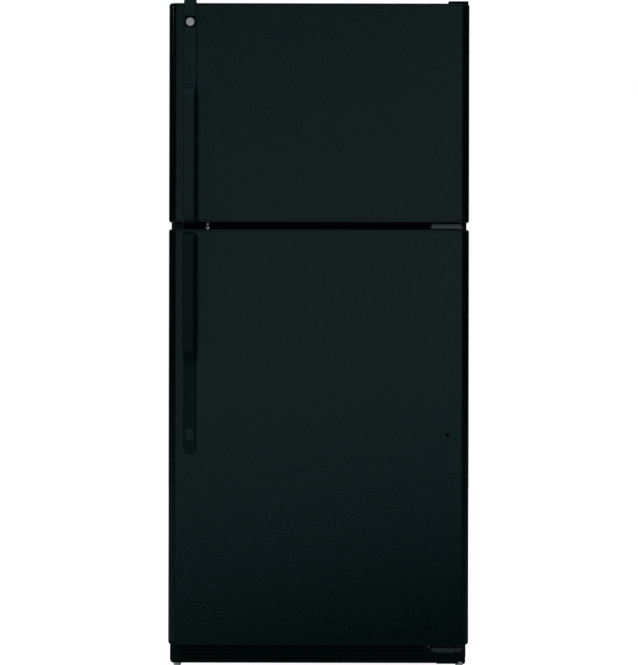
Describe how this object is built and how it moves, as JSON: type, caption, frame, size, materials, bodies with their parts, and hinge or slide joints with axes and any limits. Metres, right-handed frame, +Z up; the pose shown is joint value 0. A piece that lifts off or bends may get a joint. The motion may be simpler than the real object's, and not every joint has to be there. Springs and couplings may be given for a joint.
{
  "type": "top freezer refrigerator",
  "caption": "Upright two-door refrigerator with a freezer on top, right-hung doors, long grip handles at the left, glass shelves, crispers and door bins",
  "frame": {"origin": "on the floor, under the middle of the overall box", "axes": "+X to the right seen from the front, +Y to the back, +Z up; the doors face -Y"},
  "size_m": [0.756, 0.784, 1.689],
  "materials": {
    "acetal": "white acetal",
    "aluminium_coil": "bare aluminium",
    "badge_metal": "satin disc",
    "black_plastic": "satin black moulded plastic",
    "bulb_glass": "frosted lamp glass",
    "case_enamel": "fine textured black enamel",
    "clear_plastic": "clear moulded plastic",
    "compressor_enamel": "black enamel",
    "door_enamel": "pebble textured black enamel",
    "foam": "rigid polyurethane foam",
    "frosted_plastic": "frosted light cover",
    "galvanised": "galvanised sheet",
    "gasket_rubber": "black magnetic gasket",
    "handle_plastic": "satin black moulded plastic",
    "hardboard": "brown hardboard",
    "liner_white": "white vacuum formed liner",
    "mount_rubber": "rubber",
    "roller_plastic": "black nylon",
    "shelf_glass": "tempered glass",
    "white_plastic": "white moulded plastic",
    "wire_enamel": "white coated wire",
    "zinc": "zinc plated steel"
  },
  "bodies": {
    "cabinet": {"outer_case": "case_enamel", "rear_panel": "galvanised", "base_pan": "galvanised", "insulation": "foam", "freezer_liner": "liner_white", "fresh_food_liner": "liner_white", "mullion_rail": "case_enamel", "top_hinge": "zinc", "top_hinge_cover": "black_plastic", "center_hinge": "case_enamel", "bottom_hinge": "case_enamel", "hinge_washers": "acetal", "screws": "zinc", "base_grille": "black_plastic", "foot_brackets": "galvanised", "compressor": "compressor_enamel", "compressor_mounts": "mount_rubber", "condenser_coil": "compressor_enamel", "condenser_fan_bracket": "galvanised", "drain_pan": "black_plastic", "bay_cover": "hardboard", "evaporator_coil": "aluminium_coil", "evaporator_cover": "white_plastic", "wire_shelf": "wire_enamel", "shelf_frames": "white_plastic", "shelf_glass": "shelf_glass", "crisper_frame": "white_plastic", "control_housing": "white_plastic", "light_bulb": "bulb_glass", "light_shield": "frosted_plastic"},
    "freezer_door": {"freezer_door_skin": "door_enamel", "freezer_door_caps": "black_plastic", "freezer_door_foam": "foam", "freezer_door_liner": "liner_white", "freezer_door_gasket": "gasket_rubber", "freezer_door_handle": "handle_plastic", "handle_badge": "badge_metal", "freezer_door_bins": "clear_plastic", "freezer_door_bushings": "acetal"},
    "fresh_food_door": {"fresh_door_skin": "door_enamel", "fresh_door_caps": "black_plastic", "fresh_door_foam": "foam", "fresh_door_liner": "liner_white", "fresh_door_gasket": "gasket_rubber", "fresh_door_handle": "handle_plastic", "screw_cap_and_plug": "handle_plastic", "fresh_door_bins": "clear_plastic", "fresh_door_bushings": "acetal"},
    "dairy_lid": {"dairy_lid": "clear_plastic"},
    "crisper_left": {"crisper_left": "clear_plastic"},
    "crisper_right": {"crisper_right": "clear_plastic"},
    "knob_left": {"knob_left": "white_plastic"},
    "knob_right": {"knob_right": "white_plastic"},
    "light_switch": {"light_switch": "white_plastic"},
    "leg_left": {"leg_left": "zinc"},
    "leg_right": {"leg_right": "zinc"},
    "roller_left": {"roller_left": "roller_plastic"},
    "roller_right": {"roller_right": "roller_plastic"},
    "evaporator_fan": {"evaporator_fan": "black_plastic"},
    "condenser_fan": {"condenser_fan": "white_plastic"}
  },
  "joints": [
    {"name": "freezer_door_hinge", "type": "hinge", "parent": "cabinet", "child": "freezer_door", "pos_m": [0.352, -0.305, 1.403], "axis": [0, 0, 1], "range_deg": [0, 135]},
    {"name": "fresh_food_door_hinge", "type": "hinge", "parent": "cabinet", "child": "fresh_food_door", "pos_m": [0.352, -0.305, 0.591], "axis": [0, 0, 1], "range_deg": [0, 135]},
    {"name": "dairy_lid_hinge", "type": "hinge", "parent": "fresh_food_door", "child": "dairy_lid", "pos_m": [0.15075, -0.174, 1.03425], "axis": [1, 0, 0], "range_deg": [0, 75]},
    {"name": "crisper_left_slide", "type": "slide", "parent": "cabinet", "child": "crisper_left", "axis": [0, -1, 0], "range_m": [0, 0.28]},
    {"name": "crisper_right_slide", "type": "slide", "parent": "cabinet", "child": "crisper_right", "axis": [0, -1, 0], "range_m": [0, 0.16]},
    {"name": "knob_left_turn", "type": "hinge", "parent": "cabinet", "child": "knob_left", "pos_m": [-0.088, -0.062, 1.05825], "axis": [0, -1, 0], "range_deg": [-135, 135]},
    {"name": "knob_right_turn", "type": "hinge", "parent": "cabinet", "child": "knob_right", "pos_m": [0.088, -0.062, 1.05825], "axis": [0, -1, 0], "range_deg": [-135, 135]},
    {"name": "light_switch_slide", "type": "slide", "parent": "cabinet", "child": "light_switch", "axis": [0, -1, 0], "range_m": [0, 0.0085]},
    {"name": "leg_left_turn", "type": "hinge", "parent": "cabinet", "child": "leg_left", "pos_m": [-0.3615, -0.249, 0.02], "axis": [0, 0, 1], "range_deg": [-360, 360]},
    {"name": "leg_right_turn", "type": "hinge", "parent": "cabinet", "child": "leg_right", "pos_m": [0.3615, -0.249, 0.02], "axis": [0, 0, 1], "range_deg": [-360, 360]},
    {"name": "roller_left_spin", "type": "hinge", "parent": "cabinet", "child": "roller_left", "pos_m": [-0.3185, 0.344, 0.017], "axis": [1, 0, 0], "continuous": true},
    {"name": "roller_right_spin", "type": "hinge", "parent": "cabinet", "child": "roller_right", "pos_m": [0.3185, 0.344, 0.017], "axis": [1, 0, 0], "continuous": true},
    {"name": "evaporator_fan_spin", "type": "hinge", "parent": "cabinet", "child": "evaporator_fan", "pos_m": [0, 0.284, 1.518], "axis": [0, 1, 0], "continuous": true},
    {"name": "condenser_fan_spin", "type": "hinge", "parent": "cabinet", "child": "condenser_fan", "pos_m": [-0.02, 0.3005, 0.1225], "axis": [1, 0, 0], "continuous": true}
  ],
  "couplings": [
    {"joint": "crisper_left_slide", "follows": "fresh_food_door_hinge", "m_per_rad": 0.115},
    {"joint": "crisper_right_slide", "follows": "fresh_food_door_hinge", "m_per_rad": 0.065},
    {"joint": "light_switch_slide", "follows": "fresh_food_door_hinge", "m_per_rad": 0.0034}
  ]
}
